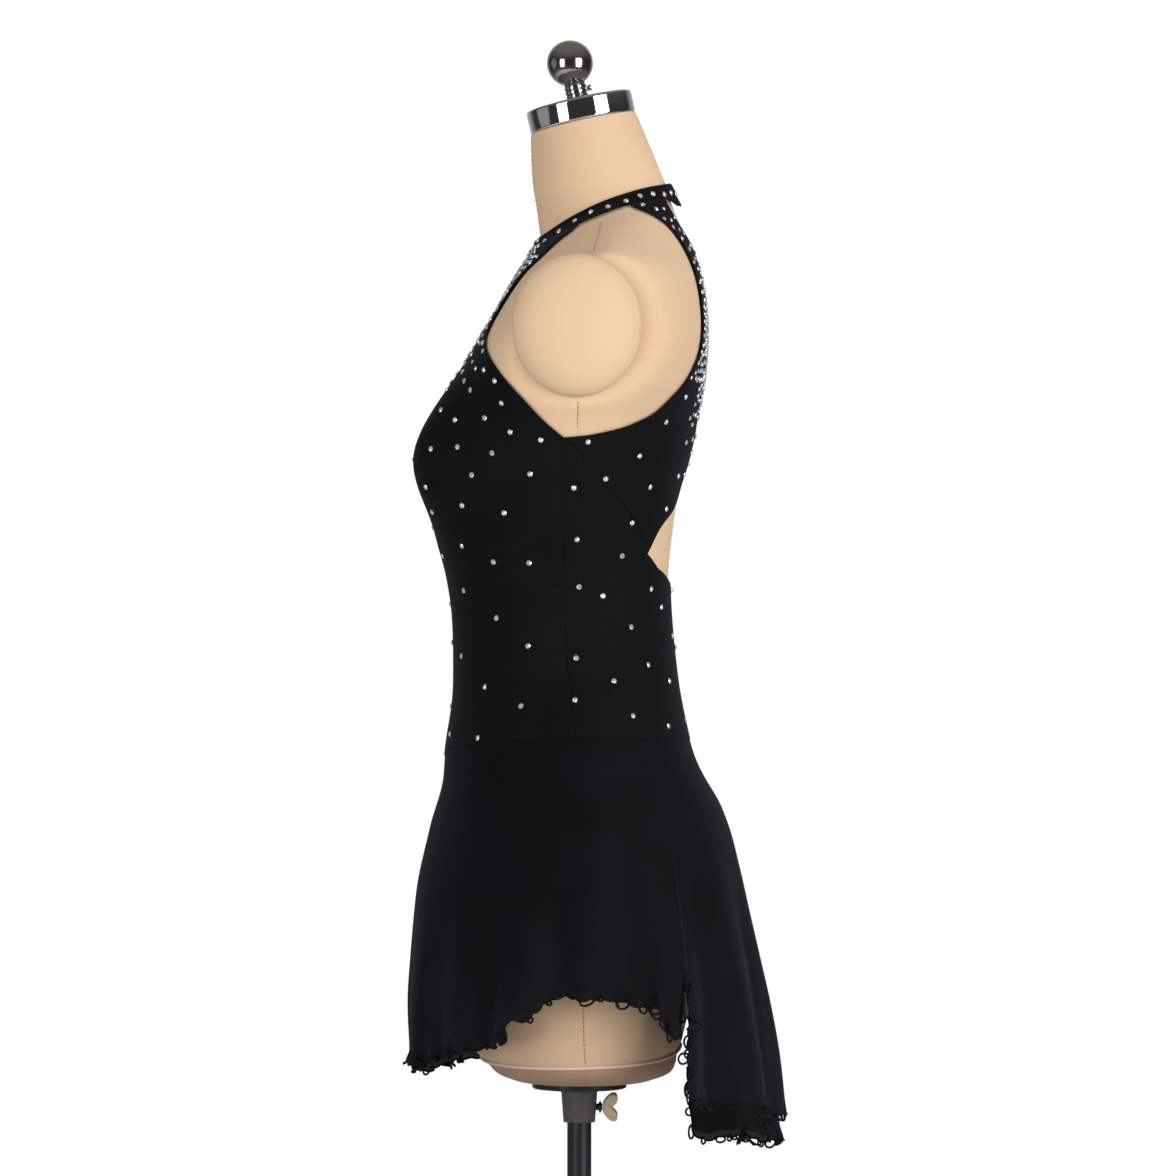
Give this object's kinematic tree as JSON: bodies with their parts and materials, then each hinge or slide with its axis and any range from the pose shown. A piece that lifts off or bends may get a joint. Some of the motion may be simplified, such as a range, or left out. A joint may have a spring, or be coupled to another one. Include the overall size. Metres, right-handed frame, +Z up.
{
  "type": "figure skating dress on a dress form",
  "caption": "Halter figure skating dress with a draped, longer-backed skirt and scattered crystals, worn by a limbless dress form on a round-footed pole stand.",
  "frame": {"origin": "on the floor under the pole, at the middle of the round foot", "axes": "+Z up, the dress faces -Y, the wearer's left side is +X"},
  "size_m": [0.419, 0.38, 1.5388],
  "materials": {
    "knit": "black stretch knit, soft sheen",
    "mesh": "black semi-sheer stretch mesh",
    "jersey": "beige jersey cover, matt",
    "chrome": "polished",
    "gunmetal": "dark polished plating",
    "black_steel": "black satin",
    "cream_plastic": "cream, satin"
  },
  "bodies": {
    "stand": {"foot": "black_steel", "pole": "black_steel"},
    "carriage": {"collar": "black_steel"},
    "screw": {"thumb_screw": "black_steel", "wing_knob": "cream_plastic"},
    "form": {"torso": "jersey", "base_plate": "black_steel", "shoulder_plate_left": "jersey", "shoulder_plate_right": "jersey", "neck_cap": "chrome", "finial": "gunmetal", "finial_screw": "chrome", "front_bodice": "knit", "upper_back_left": "knit", "upper_back_right": "knit", "lower_back": "knit", "neck_band": "knit", "skirt_front": "mesh", "skirt_back": "mesh"}
  },
  "joints": [
    {"name": "height_slide", "type": "slide", "parent": "stand", "child": "carriage", "axis": [0, 0, 1], "range_m": [-0.12, 0.2]},
    {"name": "form_turn", "type": "hinge", "parent": "carriage", "child": "form", "pos_m": [0, 0, 0.6275], "axis": [0, 0, 1], "continuous": true},
    {"name": "screw_turn", "type": "hinge", "parent": "carriage", "child": "screw", "pos_m": [0, 0.02, 0.611], "axis": [0, 1, 0], "continuous": true}
  ]
}
